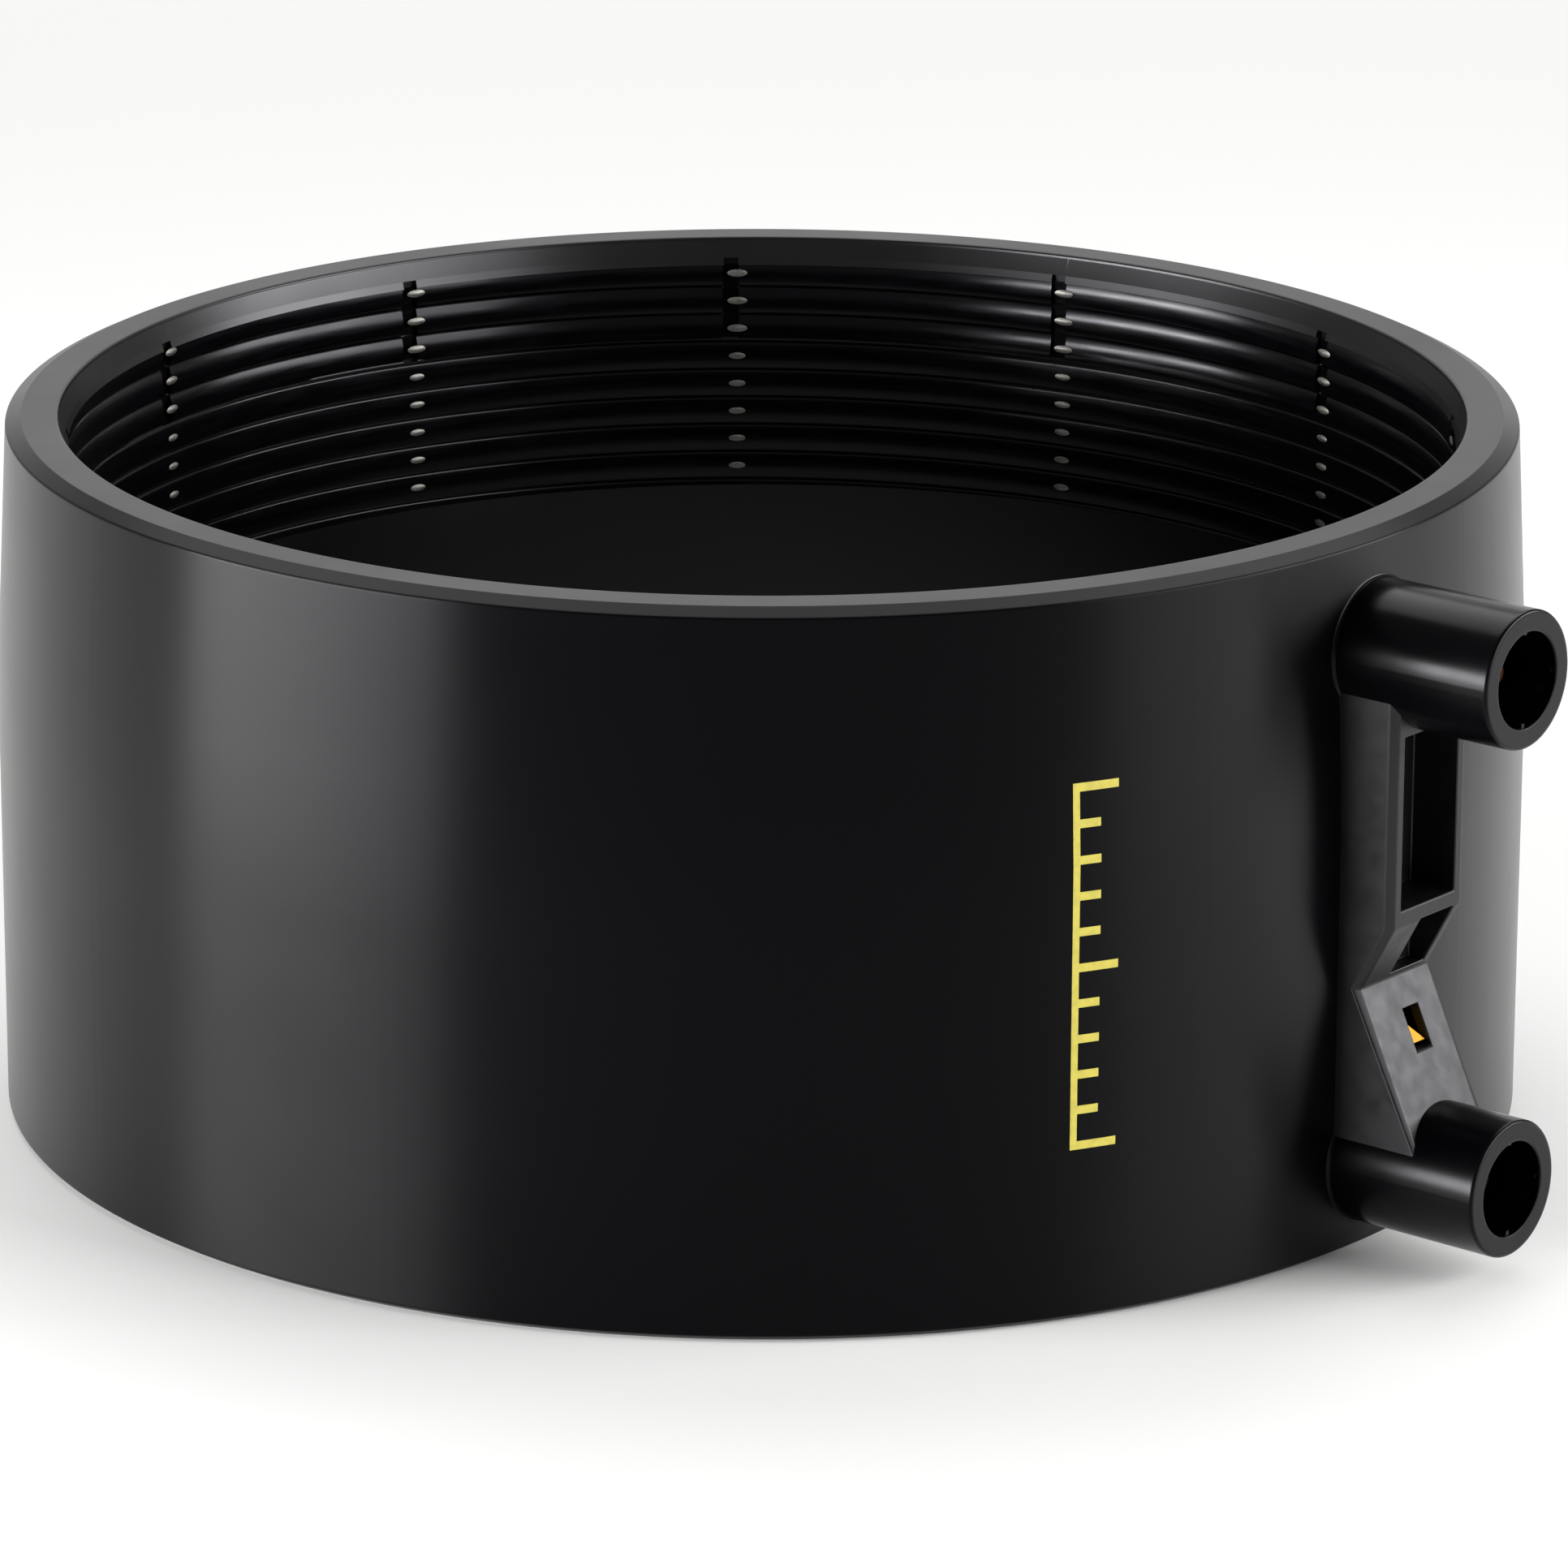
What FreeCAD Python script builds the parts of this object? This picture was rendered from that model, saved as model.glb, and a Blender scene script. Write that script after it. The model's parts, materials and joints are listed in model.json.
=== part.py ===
import FreeCAD, Part
import math
import os

from FreeCAD import Vector

# Electrofusion coupler for plastic drainage pipe, in millimetres.
# The origin is on the bore axis at half height, +Z is up along the bore and +X points
# out through the two terminal sockets. The lower end face is what the coupler rests on.

# Pipe, bore and sleeve
PIPE_RADIUS = 100.0
PIPE_GAP = 0.6
SLEEVE_WALL = 10.95
SLEEVE_HEIGHT = 103.4
LEAD_IN_WIDTH = 1.4
LEAD_IN_HEIGHT = 4.2

# Outside of the sleeve: a plain band, a drafted skirt above it, and bevelled ends
BAND_TOP_FROM_END = 37.9
TOP_DRAFT = 1.85
TOP_BEVEL_WIDTH = 2.33
TOP_BEVEL_HEIGHT = 1.1
BASE_BEVEL_WIDTH = 1.6
BASE_BEVEL_HEIGHT = 0.95

# Marks of the core's ribs in the lead-in bevels
SLOT_COUNT = 12
SLOT_WIDTH = 3.4
SLOT_DEPTH = 1.0
SLOT_REACH = 2.4
SLOT_PHASE = 12.0

# Heating winding: one coated wire, wound side by side in an upper and a lower fusion zone
TURN_PITCH = 4.45
TURNS_PER_ZONE = 8
STRAND_THICKNESS = 1.6
SEAM_DEPTH = 0.3
LINK_WIDTH = 4.0
LINK_TURN = 0.06
LINK_LAP = 0.5

# Terminal sockets
SOCKET_FROM_TOP = 16.2
SOCKET_FROM_BASE = 13.6
SOCKET_OUTER_RADIUS = 9.85
SOCKET_INNER_RADIUS = 6.8
SOCKET_REACH = 24.0
SOCKET_FLARE = 2.4
SOCKET_FLOOR = 2.2
KEY_RIB_COUNT = 4
KEY_RIB_WIDTH = 0.7
KEY_RIB_HEIGHT = 0.5
KEY_RIB_SETBACK = 0.6

# Contact pins
PIN_RADIUS = 2.0
PIN_SETBACK = 5.0
PIN_TIP_BEVEL = 0.6
PIN_SHANK_RADIUS = 2.6
PIN_END_GAP = 0.05

# Bridge between the sockets: an open pocket, a notch and a ramp with the indicator window
BRIDGE_WIDTH = 17.4
BRIDGE_PROUD = 8.45
BRIDGE_WALL = 2.4
BRIDGE_EDGE_BEVEL = 1.0
BRIDGE_FLOOR = 1.0
CROSS_BAR_THICKNESS = 2.3
NOTCH_DEPTH = 5.3
NOTCH_HEIGHT = 9.7
NOTCH_OPENING_WIDTH = 7.8
NOTCH_SHELF = 1.6
RAMP_PROUD = 14.2
RAMP_END_RISE = 3.1
RAMP_HEIGHT = 23.7
RAMP_PLATE = 1.7
CHAMBER_HEIGHT = 15.0
WINDOW_WIDTH = 3.4
WINDOW_HEIGHT = 5.7
WINDOW_TOP = 4.4
WINDOW_OFFSET = 1.15

# Fusion indicator
INDICATOR_SETBACK = 0.8
INDICATOR_HEIGHT = 3.0
INDICATOR_FROM_SILL = 0.8
INDICATOR_PLAY = 0.1
INDICATOR_STEM_RADIUS = 1.5
INDICATOR_FLOOR = 1.8

# Worked out from the sizes above
BORE_RADIUS = PIPE_RADIUS + PIPE_GAP
BAND_RADIUS = BORE_RADIUS + SLEEVE_WALL
TOP_Z = SLEEVE_HEIGHT / 2
BASE_Z = -SLEEVE_HEIGHT / 2
SEAT_RADIUS = BORE_RADIUS + STRAND_THICKNESS
ZONE_HEIGHT = TURN_PITCH * TURNS_PER_ZONE
UPPER_ZONE_Z = TOP_Z - LEAD_IN_HEIGHT - ZONE_HEIGHT
LOWER_ZONE_Z = BASE_Z + LEAD_IN_HEIGHT
SOCKET_Z = {
    "upper": TOP_Z - SOCKET_FROM_TOP,
    "lower": BASE_Z + SOCKET_FROM_BASE,
}
SOCKET_FACE_X = BAND_RADIUS + SOCKET_REACH
SOCKET_FLOOR_X = BAND_RADIUS + SOCKET_FLOOR
ROOT_X = BAND_RADIUS - SLEEVE_WALL / 2
BRIDGE_FRONT_X = BAND_RADIUS + BRIDGE_PROUD
BRIDGE_FLOOR_X = BAND_RADIUS + BRIDGE_FLOOR
NOTCH_X = BRIDGE_FRONT_X - NOTCH_DEPTH
RAMP_END_X = BAND_RADIUS + RAMP_PROUD
RAMP_END_Z = SOCKET_Z["lower"] + RAMP_END_RISE
RAMP_SLOPE = (RAMP_END_X - NOTCH_X) / RAMP_HEIGHT
NOTCH_Z = RAMP_END_Z + RAMP_HEIGHT
CROSS_BAR_BASE = NOTCH_Z + NOTCH_HEIGHT
CROSS_BAR_TOP = CROSS_BAR_BASE + CROSS_BAR_THICKNESS
WINDOW_TOP_Z = NOTCH_Z - WINDOW_TOP
WINDOW_BASE_Z = WINDOW_TOP_Z - WINDOW_HEIGHT
STEM_Z = WINDOW_BASE_Z + INDICATOR_FROM_SILL + INDICATOR_STEM_RADIUS
STEM_Y = WINDOW_OFFSET - WINDOW_WIDTH / 2 + INDICATOR_PLAY + INDICATOR_STEM_RADIUS
STEM_END_X = SEAT_RADIUS + INDICATOR_FLOOR

X_AXIS = Vector(1, 0, 0)
Z_AXIS = Vector(0, 0, 1)
CENTRE = Vector(0, 0, 0)


def polygon_face(points):
    """Closed flat face through the given points."""
    return Part.Face(Part.makePolygon(points + [points[0]]))


def turned(profile, axis_point=CENTRE, axis=Z_AXIS):
    """Solid of revolution of a closed profile."""
    return polygon_face(profile).revolve(axis_point, axis, 360)


def side_prism(outline, y_low, y_high):
    """Prism along Y from an outline of (x, z) points."""
    face = polygon_face([Vector(x, y_low, z) for x, z in outline])
    return face.extrude(Vector(0, y_high - y_low, 0))


def cross_box(x_low, x_high, y_low, y_high, z_low, z_high):
    """Box between two corners."""
    return Part.makeBox(x_high - x_low, y_high - y_low, z_high - z_low, Vector(x_low, y_low, z_low))


def ramp_x(z, depth=0.0):
    """X of the ramp's face at height z, or of a plane that lies depth under it."""
    slant = math.hypot(1, RAMP_SLOPE)
    return NOTCH_X + RAMP_SLOPE * (NOTCH_Z - z) - depth * slant


def swept(section, path):
    """Solid that carries a closed section along a helix."""
    sweep = Part.BRepOffsetAPI.MakePipeShell(Part.Wire(path.Edges))
    sweep.setFrenetMode(True)
    sweep.add(section)
    sweep.build()
    sweep.makeSolid()
    return sweep.shape()


def tube(inner_radius, outer_radius, base_z, height):
    """Plain ring about the bore axis."""
    outer = Part.makeCylinder(outer_radius, height, Vector(0, 0, base_z))
    return outer.cut(Part.makeCylinder(inner_radius, height, Vector(0, 0, base_z)))


def strand_profile():
    """Radius and height along the turns: a low crown on each turn and a seam between two."""
    points = []
    for turn in range(-1, TURNS_PER_ZONE):
        z = turn * TURN_PITCH
        points.append((BORE_RADIUS + SEAM_DEPTH, z))
        points.append((BORE_RADIUS, z + TURN_PITCH / 2))
    points.append((BORE_RADIUS + SEAM_DEPTH, ZONE_HEIGHT))
    back = SEAT_RADIUS + STRAND_THICKNESS
    return points + [(back, ZONE_HEIGHT), (back, -TURN_PITCH)]


def wound_zone(base_z):
    """The turns of one fusion zone. Their profile climbs one pitch in one turn, in two half turns."""
    corners = [Vector(r, 0, z) for r, z in strand_profile()]
    section = Part.makePolygon(corners + [corners[0]])
    halves = []
    for half in range(2):
        solid = swept(section, Part.makeHelix(TURN_PITCH, TURN_PITCH / 2, BORE_RADIUS))
        solid.rotate(CENTRE, Z_AXIS, 180 * half)
        solid.translate(Vector(0, 0, base_z + TURN_PITCH / 2 * half))
        halves.append(solid)
    turns = halves[0].multiFuse(halves[1:])
    return turns.common(Part.makeCylinder(SEAT_RADIUS, ZONE_HEIGHT, Vector(0, 0, base_z)))


def link_strand(inner_radius):
    """The strand's steep run across the cold zone. Both ends lap into the turns."""
    low = LOWER_ZONE_Z + ZONE_HEIGHT - LINK_LAP
    high = UPPER_ZONE_Z + LINK_LAP
    half = LINK_WIDTH / 2
    corners = [Vector(inner_radius, -half, low), Vector(inner_radius, half, low),
               Vector(SEAT_RADIUS, half, low), Vector(SEAT_RADIUS, -half, low)]
    path = Part.makeHelix((high - low) / LINK_TURN, high - low, BORE_RADIUS)
    path.translate(Vector(0, 0, low))
    return swept(Part.makePolygon(corners + [corners[0]]), path)


def sleeve():
    """Turned sleeve with its drafted outside, bevelled ends and lead-in bevels."""
    top_skirt = BAND_RADIUS - TOP_DRAFT
    mouth = BORE_RADIUS + LEAD_IN_WIDTH
    return turned([
        Vector(BORE_RADIUS, 0, BASE_Z + LEAD_IN_HEIGHT),
        Vector(mouth, 0, BASE_Z),
        Vector(BAND_RADIUS - BASE_BEVEL_WIDTH, 0, BASE_Z),
        Vector(BAND_RADIUS, 0, BASE_Z + BASE_BEVEL_HEIGHT),
        Vector(BAND_RADIUS, 0, TOP_Z - BAND_TOP_FROM_END),
        Vector(top_skirt, 0, TOP_Z - TOP_BEVEL_HEIGHT),
        Vector(top_skirt - TOP_BEVEL_WIDTH, 0, TOP_Z),
        Vector(mouth, 0, TOP_Z),
        Vector(BORE_RADIUS, 0, TOP_Z - LEAD_IN_HEIGHT),
    ])


def rib_slots():
    """Short notches in both lead-in bevels, where the moulding core's ribs stood."""
    slots = []
    for end in (1, -1):
        for index in range(SLOT_COUNT):
            face_z = end * (TOP_Z - SLOT_REACH)
            seat_z = end * (TOP_Z - LEAD_IN_HEIGHT)
            low, high = min(face_z, seat_z), max(face_z, seat_z)
            slot = cross_box(BORE_RADIUS - LEAD_IN_WIDTH, BORE_RADIUS + SLOT_DEPTH,
                             -SLOT_WIDTH / 2, SLOT_WIDTH / 2, low, high)
            slot.rotate(CENTRE, Z_AXIS, SLOT_PHASE + 360 / SLOT_COUNT * index)
            slots.append(slot)
    return slots


def socket_tube(z):
    """Outside of one terminal socket, with a flared root."""
    outer = SOCKET_OUTER_RADIUS
    steps = [
        (ROOT_X, 0), (ROOT_X, outer + SOCKET_FLARE), (BAND_RADIUS - TOP_DRAFT / 2, outer + SOCKET_FLARE),
        (BAND_RADIUS + SOCKET_FLARE, outer), (SOCKET_FACE_X, outer), (SOCKET_FACE_X, 0),
    ]
    return turned([Vector(x, 0, z + r) for x, r in steps], Vector(0, 0, z), X_AXIS)


def socket_hollow(z):
    """Inside of one terminal socket, with the hole for the contact pin's shank."""
    depth = SOCKET_FACE_X - SOCKET_FLOOR_X
    hollow = Part.makeCylinder(SOCKET_INNER_RADIUS, depth, Vector(SOCKET_FLOOR_X, 0, z), X_AXIS)
    length = SOCKET_FLOOR_X - BORE_RADIUS
    shank = Part.makeCylinder(PIN_SHANK_RADIUS, length, Vector(BORE_RADIUS, 0, z), X_AXIS)
    return hollow.fuse(shank)


def key_ribs(z):
    """Fine ribs along the inside of one socket, set back from its mouth."""
    ribs = []
    end_x = SOCKET_FACE_X - KEY_RIB_SETBACK
    for index in range(KEY_RIB_COUNT):
        rib = cross_box(SOCKET_FLOOR_X, end_x, -KEY_RIB_WIDTH / 2, KEY_RIB_WIDTH / 2,
                        SOCKET_INNER_RADIUS - KEY_RIB_HEIGHT, SOCKET_OUTER_RADIUS - KEY_RIB_HEIGHT)
        rib.translate(Vector(0, 0, z))
        rib.rotate(Vector(0, 0, z), X_AXIS, 360 / KEY_RIB_COUNT * index)
        ribs.append(rib)
    return ribs


def bridge_block():
    """Outside of the bridge between the sockets, with its front edges bevelled."""
    half = BRIDGE_WIDTH / 2
    outline = [
        (ROOT_X, SOCKET_Z["upper"]),
        (BRIDGE_FRONT_X, SOCKET_Z["upper"]),
        (BRIDGE_FRONT_X, CROSS_BAR_BASE),
        (NOTCH_X, NOTCH_Z),
        (RAMP_END_X, RAMP_END_Z),
        (RAMP_END_X, SOCKET_Z["lower"]),
        (ROOT_X, SOCKET_Z["lower"]),
    ]
    block = side_prism(outline, -half, half)
    ends = [Vector(BRIDGE_FRONT_X, 0, SOCKET_Z["upper"]), Vector(BRIDGE_FRONT_X, 0, CROSS_BAR_BASE),
            Vector(NOTCH_X, 0, NOTCH_Z)]
    bevelled = [edge for edge in block.Edges if is_front_edge(edge, ends)]
    return block.makeChamfer(BRIDGE_EDGE_BEVEL, bevelled)


def is_front_edge(edge, ends):
    """True for an edge of a side face that runs between two of the given front points."""
    flat = [Vector(vertex.X, 0, vertex.Z) for vertex in edge.Vertexes]
    if flat[0].distanceToPoint(flat[1]) < 1e-6:
        return False
    return all(min(point.distanceToPoint(end) for end in ends) < 1e-6 for point in flat)


def bridge_hollows():
    """Pocket, notch opening, chamber behind the ramp, indicator window and stem hole."""
    inner = BRIDGE_WIDTH / 2 - BRIDGE_WALL
    pocket_top = SOCKET_Z["upper"] - SOCKET_OUTER_RADIUS
    pocket = cross_box(BRIDGE_FLOOR_X, SOCKET_FACE_X, -inner, inner, CROSS_BAR_TOP, pocket_top)
    notch = cross_box(BRIDGE_FLOOR_X, SOCKET_FACE_X, inner - NOTCH_OPENING_WIDTH, inner,
                      NOTCH_Z + NOTCH_SHELF / 2, CROSS_BAR_BASE)
    chamber_top = NOTCH_Z - NOTCH_SHELF
    chamber_base = chamber_top - CHAMBER_HEIGHT
    chamber = side_prism([
        (BRIDGE_FLOOR_X, chamber_top),
        (ramp_x(chamber_top, RAMP_PLATE), chamber_top),
        (ramp_x(chamber_base, RAMP_PLATE), chamber_base),
        (BRIDGE_FLOOR_X, chamber_base),
    ], -inner, inner)
    window = cross_box(BRIDGE_FLOOR_X, SOCKET_FACE_X, WINDOW_OFFSET - WINDOW_WIDTH / 2,
                       WINDOW_OFFSET + WINDOW_WIDTH / 2, WINDOW_BASE_Z, WINDOW_TOP_Z)
    stem_length = BRIDGE_FLOOR_X - STEM_END_X
    stem_hole = Part.makeCylinder(INDICATOR_STEM_RADIUS + INDICATOR_PLAY, stem_length,
                                  Vector(STEM_END_X, STEM_Y, STEM_Z), X_AXIS)
    return [pocket, notch, chamber, window, stem_hole]


def coupler_body():
    """The one black moulding: sleeve, terminal sockets and the bridge between them."""
    body = sleeve().cut(rib_slots())
    body = body.fuse([socket_tube(z) for z in SOCKET_Z.values()] + [bridge_block()])
    body = body.cut([socket_hollow(z) for z in SOCKET_Z.values()] + bridge_hollows())
    body = body.fuse([rib for z in SOCKET_Z.values() for rib in key_ribs(z)])
    inner = BORE_RADIUS - SEAM_DEPTH
    seats = [tube(inner, SEAT_RADIUS, base, ZONE_HEIGHT) for base in (UPPER_ZONE_Z, LOWER_ZONE_Z)]
    return body.cut(seats + [link_strand(inner)])


def heating_winding():
    """One coated wire: the upper turns, the run across the cold zone and the lower turns."""
    zones = [wound_zone(base) for base in (UPPER_ZONE_Z, LOWER_ZONE_Z)]
    return zones[0].multiFuse([zones[1], link_strand(BORE_RADIUS)])


def contact_pin(z):
    """Round contact pin with a bevelled tip. Its thicker shank goes through the wall to the winding."""
    tip_x = SOCKET_FACE_X - PIN_SETBACK
    foot_x = SEAT_RADIUS + PIN_END_GAP
    steps = [
        (foot_x, 0), (foot_x, PIN_SHANK_RADIUS), (SOCKET_FLOOR_X, PIN_SHANK_RADIUS),
        (SOCKET_FLOOR_X, PIN_RADIUS), (tip_x - PIN_TIP_BEVEL, PIN_RADIUS),
        (tip_x, PIN_RADIUS - PIN_TIP_BEVEL), (tip_x, 0),
    ]
    return turned([Vector(x, 0, z + r) for x, r in steps], Vector(0, 0, z), X_AXIS)


def fusion_indicator():
    """Yellow indicator: a three-cornered head in the window on a stem that reaches the fusion zone."""
    low_y = WINDOW_OFFSET - WINDOW_WIDTH / 2 + INDICATOR_PLAY
    high_y = WINDOW_OFFSET + WINDOW_WIDTH / 2 - INDICATOR_PLAY
    low_z = WINDOW_BASE_Z + INDICATOR_FROM_SILL
    corners = [(low_y, low_z), (high_y, low_z), (low_y, low_z + INDICATOR_HEIGHT)]
    back = polygon_face([Vector(BRIDGE_FLOOR_X, y, z) for y, z in corners])
    head = back.extrude(Vector(SOCKET_FACE_X - BRIDGE_FLOOR_X, 0, 0))
    front = side_prism([
        (BRIDGE_FLOOR_X - BRIDGE_FLOOR, NOTCH_Z),
        (ramp_x(NOTCH_Z, INDICATOR_SETBACK), NOTCH_Z),
        (ramp_x(RAMP_END_Z, INDICATOR_SETBACK), RAMP_END_Z),
        (BRIDGE_FLOOR_X - BRIDGE_FLOOR, RAMP_END_Z),
    ], -BRIDGE_WIDTH / 2, BRIDGE_WIDTH / 2)
    stem = Part.makeCylinder(INDICATOR_STEM_RADIUS, BRIDGE_FLOOR_X - STEM_END_X,
                             Vector(STEM_END_X, STEM_Y, STEM_Z), X_AXIS)
    return head.common(front).fuse(stem)


def main():
    """Build every piece and write one file for each."""
    pieces = {
        "coupler_body": coupler_body(),
        "heating_winding": heating_winding(),
        "upper_contact_pin": contact_pin(SOCKET_Z["upper"]),
        "lower_contact_pin": contact_pin(SOCKET_Z["lower"]),
        "fusion_indicator": fusion_indicator(),
    }
    os.makedirs("parts", exist_ok=True)
    for name, shape in pieces.items():
        shape.exportStep("parts/" + name + ".step")
        print(name, "solids", len(shape.Solids), "valid", shape.isValid(), "volume", round(shape.Volume, 1))


main()
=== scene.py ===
"""Dressed electrofusion coupler, built round its CAD frame.

Sizes are in metres, and +Z is up the bore.
"""

import json
import math

import bmesh
import bpy
import numpy as np
from bpy.props import FloatProperty, FloatVectorProperty, IntProperty, PointerProperty
from mathutils import Matrix, Vector


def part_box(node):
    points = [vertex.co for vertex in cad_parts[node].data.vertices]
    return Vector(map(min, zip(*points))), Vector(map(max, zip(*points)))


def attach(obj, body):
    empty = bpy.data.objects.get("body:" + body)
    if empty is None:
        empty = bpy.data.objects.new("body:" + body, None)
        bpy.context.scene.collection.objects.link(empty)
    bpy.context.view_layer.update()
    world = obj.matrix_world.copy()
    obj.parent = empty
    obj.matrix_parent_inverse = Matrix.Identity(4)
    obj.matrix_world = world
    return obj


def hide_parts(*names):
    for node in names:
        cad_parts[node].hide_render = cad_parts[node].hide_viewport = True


bl_info = {
    "name": "Electrofusion Coupler",
    "version": (1, 0, 0),
    "blender": (4, 5, 0),
    "location": "View3D > Sidebar > Coupler",
    "description": "Builds a pipe coupler with its heating winding, sockets and indicator",
    "category": "Object",
}

MM = 0.001

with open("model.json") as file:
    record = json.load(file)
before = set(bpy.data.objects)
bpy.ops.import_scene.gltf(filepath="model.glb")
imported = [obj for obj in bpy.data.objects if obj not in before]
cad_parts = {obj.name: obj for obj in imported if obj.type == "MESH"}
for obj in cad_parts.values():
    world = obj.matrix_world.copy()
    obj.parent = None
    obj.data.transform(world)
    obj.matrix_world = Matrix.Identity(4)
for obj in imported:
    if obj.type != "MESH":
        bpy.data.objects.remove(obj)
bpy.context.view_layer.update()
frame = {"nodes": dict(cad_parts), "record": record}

# Read off the frame
PIN_NAMES = ("upper_contact_pin", "lower_contact_pin")
BODY_LOW, BODY_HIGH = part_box("coupler_body")
WINDING_LOW, WINDING_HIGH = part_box("heating_winding")
MOUNTS = {mount["name"]: mount for mount in frame["record"]["mounts"]}
TOP_Z = BODY_HIGH.z
BASE_Z = BODY_LOW.z
BAND_RADIUS = -BODY_LOW.x
SOCKET_FACE_X = BODY_HIGH.x
BORE_RADIUS = MOUNTS["pipe_bore"]["dims"]["r_mm"] * MM
SEAT_RADIUS = -WINDING_LOW.x
ZONE_END_Z = WINDING_HIGH.z
SOCKET_Z = [MOUNTS[name]["pos_m"][2] for name in PIN_NAMES]

# Meshes: a hair is less than any real length, and a step in a profile takes a step's length
HAIR = 0.001 * MM
MERGE_DISTANCE = 0.002 * MM
STEP_LENGTH = 0.02 * MM
CRISP_ANGLE = math.radians(0.04)
ANGLE_DIGITS = 7
SLEEVE_COLUMNS = 360
TURN_COLUMNS = 240
SOCKET_COLUMNS = 96
FILLET_STEPS = 9
EDGE_STEPS = 5
SHARP_ANGLE = 35
TURN_SHARP_ANGLE = 50

# Sleeve
LEAD_IN_WIDTH = 1.4 * MM
BAND_TOP_FROM_END = 37.9 * MM
TOP_DRAFT = 1.85 * MM
SKIRT_BLEND = 380 * MM
TOP_BEVEL = (2.33 * MM, 1.1 * MM)
BASE_BEVEL = (1.6 * MM, 0.95 * MM)
SEAT_CLEARANCE = 0.1 * MM

# The core's ribs, which hold the wire, and the slots that they leave in the lead-in
CORE_RIB_COUNT = 12
CORE_RIB_PHASE = math.radians(12)
SLOT_WIDTH = 2.2 * MM
SLOT_DEPTH = 1.0 * MM
SLOT_REACH = 3.1 * MM

# Winding: span of a fusion zone, and share of a turn by which its seams are shifted. The turns
# nearest the mouth are crowned more, and have a groove beside each bare spot
WINDING_SPAN = 35.6 * MM
LAND_END_Z = ZONE_END_Z - WINDING_SPAN
ZONE_BASES = (LAND_END_Z, -ZONE_END_Z)
TURN_PHASE = -0.155
SEAM_WIDTH = 0.16 * MM
FIRST_TURNS = 2.6
FIRST_CROWN = 0.6
GROOVE_WIDTH = 2.4 * MM
GROOVE_OFFSET = 1.0 * MM
ROW_SHARES = (0, 0.02, 0.04, 0.07, 0.11, 0.18, 0.28, 0.39, 0.5,
              0.61, 0.72, 0.82, 0.89, 0.93, 0.96, 0.98)

# Steep run across the land, with a profile of (share of the half width, millimetres into the wall)
LINK_LAP = 0.5 * MM
LINK_HALF_WIDTH = 2.0 * MM
LINK_TURN = 0.06
LINK_ROWS = 25
LINK_PROFILE = ((-1, 0.25), (-0.9, 0.06), (-0.5, 0), (0, -0.05), (0.5, 0), (0.9, 0.06), (1, 0.25),
                (1, 1.6), (-1, 1.6))

# Bare spots on the wire: how proud they stand, how deep their rim lies, and how far from a zone's
# end the last one may lie
MARK_RISE = 0.22 * MM
MARK_SINK = 0.06 * MM
MARK_MARGIN = 0.4 * MM

# Sockets
SOCKET_RADIUS = 9.85 * MM
SOCKET_BORE_RADIUS = 6.8 * MM
SOCKET_FLOOR_X = 113.75 * MM
SOCKET_EDGE = 0.45 * MM
SOCKET_MOUTH_EDGE = 0.25 * MM
SOCKET_ROOT_SINK = 1.5 * MM
PIN_SHANK_RADIUS = 2.6 * MM
PIN_SHANK_SINK = 2 * MM
KEY_RIB_COUNT = 4
KEY_RIB_WIDTH = 0.7 * MM
KEY_RIB_HEIGHT = 0.5 * MM
KEY_RIB_SETBACK = 0.6 * MM
# Points that keep the flats beside the socket's edges even stand this many edge radii away
EDGE_SUPPORT = 1.6
BARREL_SUPPORT = 6

# Bridge between the sockets, as (x, z) outlines in the middle plane
BRIDGE_HALF_WIDTH = 8.7 * MM
BRIDGE_INNER = 6.3 * MM
BRIDGE_ROOT_X = 109.0 * MM
BRIDGE_FRONT_X = 120.0 * MM
BRIDGE_FLOOR_X = 112.55 * MM
BRIDGE_EDGE_BEVEL = 1.0 * MM
BRIDGE_ROUNDING = 0.28 * MM
BAR_INSET = 0.3 * MM
RAMP_INSET = 0.1 * MM
ROUNDED_ANGLE = math.radians(25)
CROSS_BAR_TOP = 0.7 * MM
CROSS_BAR_BASE = -1.6 * MM
NOTCH_X = 114.7 * MM
NOTCH_Z = -11.3 * MM
NOTCH_SHELF = 1.6 * MM
NOTCH_OPENING = 7.8 * MM
RAMP_END_X = 125.75 * MM
RAMP_END_Z = -35.0 * MM
RAMP_PLATE = 1.7 * MM
CHAMBER_HEIGHT = 15.0 * MM
WINDOW_Y = (-0.55 * MM, 2.85 * MM)
WINDOW_Z = (-21.4 * MM, -15.7 * MM)
WINDOW_LIFT = 1 * MM
CUTTER_END_X = 140 * MM

# Printed scale on the wall
TICK_COUNT = 11
LONG_TICK_STEP = 5
SHORT_TICK_SHARE = 0.6
HALF_LINE = 0.6 * MM
SPINE_WIDTH = 1.0 * MM
SCALE_ANGLE = math.radians(-26.3)
SCALE_BASE_Z = -26 * MM
INK_THICKNESS = 0.06 * MM
INK_PROUD = 0.03 * MM
PATCH_COLUMNS = 9
PATCH_ROW = 3 * MM

# Finishes: black polyethylene reflects a little more blue by the cool cast, and most values of a
# pattern lie in its band
POLYETHYLENE_IOR = 1.51
INK_IOR = 1.5
COOL_CAST = 1.04
GRAIN_SIZE = 0.7 * MM
PATTERN_BAND = (0.3, 0.7)

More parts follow.
